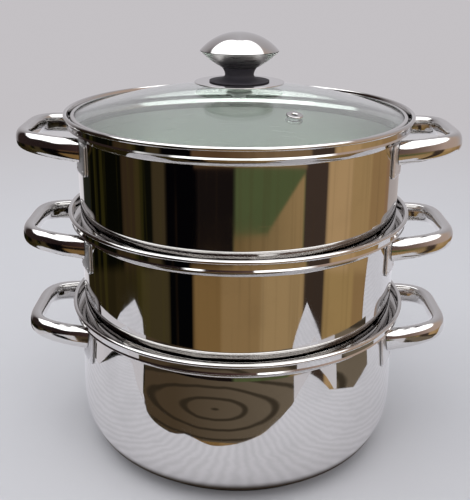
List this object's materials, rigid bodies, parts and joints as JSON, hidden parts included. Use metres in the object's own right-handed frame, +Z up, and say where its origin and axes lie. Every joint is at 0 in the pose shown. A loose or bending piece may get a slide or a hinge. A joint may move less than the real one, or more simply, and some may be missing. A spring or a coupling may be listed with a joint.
{
  "type": "tiered steamer pot",
  "caption": "Tiered stainless steamer pot: bellied pot, perforated steamers with looped tube handles, and a domed glass lid with steel band, vent eyelet and lens-shaped knob.",
  "frame": {"origin": "centre of the underside of the pot's base", "axes": "+Z up through the stack, X through the handles, -Y towards the side with the vent"},
  "size_m": [0.298, 0.236, 0.291],
  "materials": {
    "vessel_steel": "mirror polished outside, fine circular satin inside",
    "handle_steel": "mirror polished",
    "bracket_steel": "bright, with weld marks",
    "base_steel": "circular brushed",
    "lid_steel": "bright rolled sheet",
    "knob_steel": "mirror polished",
    "hardware_steel": "turned",
    "aluminium": "raw",
    "lid_glass": "clear, faint grey green",
    "black_moulding": "semi-gloss moulded",
    "brass": "turned",
    "soft_washer": "matt translucent white"
  },
  "bodies": {
    "pot": {"pot_body": "vessel_steel", "pot_base_core": "aluminium", "pot_base_cap": "base_steel", "pot_left_handle": "handle_steel", "pot_left_front_bracket": "bracket_steel", "pot_left_rear_bracket": "bracket_steel", "pot_right_handle": "handle_steel", "pot_right_front_bracket": "bracket_steel", "pot_right_rear_bracket": "bracket_steel"},
    "middle_steamer": {"middle_steamer_body": "vessel_steel", "middle_steamer_left_handle": "handle_steel", "middle_steamer_left_front_bracket": "bracket_steel", "middle_steamer_left_rear_bracket": "bracket_steel", "middle_steamer_right_handle": "handle_steel", "middle_steamer_right_front_bracket": "bracket_steel", "middle_steamer_right_rear_bracket": "bracket_steel"},
    "top_steamer": {"top_steamer_body": "vessel_steel", "top_steamer_left_handle": "handle_steel", "top_steamer_left_front_bracket": "bracket_steel", "top_steamer_left_rear_bracket": "bracket_steel", "top_steamer_right_handle": "handle_steel", "top_steamer_right_front_bracket": "bracket_steel", "top_steamer_right_rear_bracket": "bracket_steel"},
    "lid": {"lid_band": "lid_steel", "lid_glass": "lid_glass", "vent_eyelet": "lid_steel", "knob_screw": "hardware_steel", "knob_washer": "hardware_steel", "knob_lower_gasket": "soft_washer", "knob_gasket": "soft_washer", "knob_plate": "knob_steel", "knob_neck": "black_moulding", "knob_insert": "brass", "knob_cup": "knob_steel", "knob_cap": "knob_steel"}
  },
  "joints": [
    {"name": "middle_steamer_lift", "type": "slide", "parent": "pot", "child": "middle_steamer", "axis": [0, 0, 1], "range_m": [0, 0.12]},
    {"name": "top_steamer_lift", "type": "slide", "parent": "middle_steamer", "child": "top_steamer", "axis": [0, 0, 1], "range_m": [0, 0.12]},
    {"name": "lid_lift", "type": "slide", "parent": "top_steamer", "child": "lid", "axis": [0, 0, 1], "range_m": [0, 0.12]}
  ]
}
